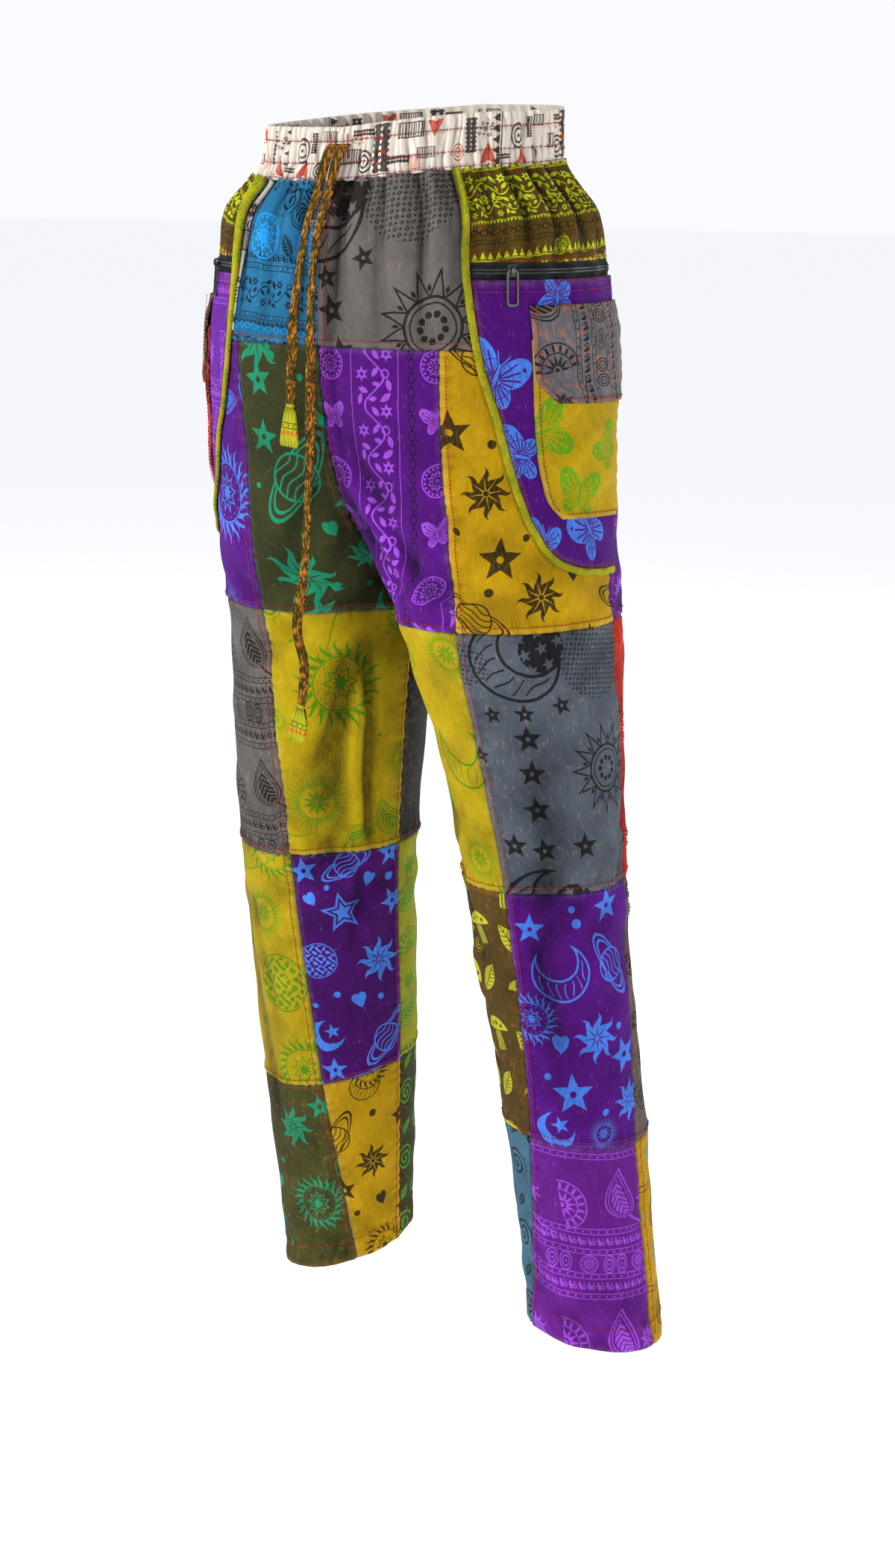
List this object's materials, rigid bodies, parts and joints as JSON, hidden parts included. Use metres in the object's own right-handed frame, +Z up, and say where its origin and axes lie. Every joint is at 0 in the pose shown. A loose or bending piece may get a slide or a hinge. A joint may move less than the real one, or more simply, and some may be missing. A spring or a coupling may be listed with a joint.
{
  "type": "patchwork drawstring trousers",
  "caption": "Loose patchwork cotton trousers in the worn pose: gathered elastic waist, drawstring, zipped side pockets with flapped patch pockets, open hems.",
  "frame": {"origin": "middle of the waist opening, halfway up the elastic waistband, where the wearer's waist holds the trousers up", "axes": "+Z up along the wearer, front towards -Y, the wearer's left towards +X"},
  "size_m": [0.4171, 0.261, 1.0333],
  "materials": {
    "cotton_brown": "stonewashed printed cotton",
    "cotton_charcoal": "stonewashed printed cotton",
    "cotton_cream": "stonewashed printed cotton",
    "cotton_denim": "stonewashed printed cotton",
    "cotton_grey": "stonewashed printed cotton",
    "cotton_lilac": "stonewashed printed cotton",
    "cotton_lime": "stonewashed printed cotton",
    "cotton_mustard": "stonewashed printed cotton",
    "cotton_olive": "stonewashed printed cotton",
    "cotton_purple": "stonewashed printed cotton",
    "cotton_red": "stonewashed printed cotton",
    "cotton_slate": "stonewashed printed cotton",
    "cotton_teal": "stonewashed printed cotton",
    "cotton_yellow": "stonewashed printed cotton",
    "zip_tape": "woven tape with a nylon coil",
    "gunmetal": "dark plated, satin",
    "drawstring_tape": "flat cotton tape, tie-dyed",
    "drawstring_tab": "padded cotton, overlocked edge"
  },
  "bodies": {
    "trousers": {"waistband": "cotton_cream", "left_front_yoke": "cotton_charcoal", "left_back_yoke": "cotton_olive", "left_side_yoke": "cotton_brown", "left_zip": "zip_tape", "left_zip_slider": "gunmetal", "left_pocket_binding": "cotton_lime", "left_pocket_panel": "cotton_purple", "left_patch_pocket": "cotton_yellow", "left_pocket_flap": "cotton_slate", "right_front_yoke": "cotton_denim", "right_back_yoke": "cotton_purple", "right_side_yoke": "cotton_brown", "right_zip": "zip_tape", "right_zip_slider": "gunmetal", "right_pocket_binding": "cotton_lime", "right_pocket_panel": "cotton_lilac", "right_patch_pocket": "cotton_red", "right_pocket_flap": "cotton_charcoal", "right_thigh_front_inner": "cotton_olive", "right_thigh_front_outer": "cotton_purple", "right_thigh_back_outer": "cotton_mustard", "right_thigh_back_inner": "cotton_slate", "right_knee_front_inner": "cotton_mustard", "right_knee_front_outer": "cotton_grey", "right_knee_back_outer": "cotton_teal", "right_knee_back_inner": "cotton_charcoal", "right_shin_front_inner": "cotton_purple", "right_shin_front_outer": "cotton_lime", "right_shin_back_outer": "cotton_red", "right_shin_back_inner": "cotton_yellow", "right_hem_front_inner": "cotton_mustard", "right_hem_front_outer": "cotton_brown", "right_hem_back_outer": "cotton_lilac", "right_hem_back_inner": "cotton_olive", "left_thigh_front_inner": "cotton_lilac", "left_thigh_front_outer": "cotton_mustard", "left_thigh_back_outer": "cotton_purple", "left_thigh_back_inner": "cotton_olive", "left_knee_front_inner": "cotton_yellow", "left_knee_front_outer": "cotton_slate", "left_knee_back_outer": "cotton_red", "left_knee_back_inner": "cotton_teal", "left_shin_front_inner": "cotton_brown", "left_shin_front_outer": "cotton_purple", "left_shin_back_outer": "cotton_grey", "left_shin_back_inner": "cotton_lime", "left_hem_front_inner": "cotton_teal", "left_hem_front_outer": "cotton_lilac", "left_hem_back_outer": "cotton_mustard", "left_hem_back_inner": "cotton_brown", "drawstring_short": "drawstring_tape", "drawstring_long": "drawstring_tape", "drawstring_tab_short": "drawstring_tab", "drawstring_tab_long": "drawstring_tab"},
    "left_pull": {"left_zip_pull": "gunmetal"},
    "right_pull": {"right_zip_pull": "gunmetal"}
  },
  "joints": [
    {"name": "left_pull_swing", "type": "hinge", "parent": "trousers", "child": "left_pull", "pos_m": [0.1376, -0.05961, -0.08967], "axis": [-0.6728, -0.7399, 0], "range_deg": [0, 170]},
    {"name": "right_pull_swing", "type": "hinge", "parent": "trousers", "child": "right_pull", "pos_m": [-0.14496, -0.07436, -0.08967], "axis": [-0.7834, 0.6215, 0], "range_deg": [0, 170]}
  ]
}
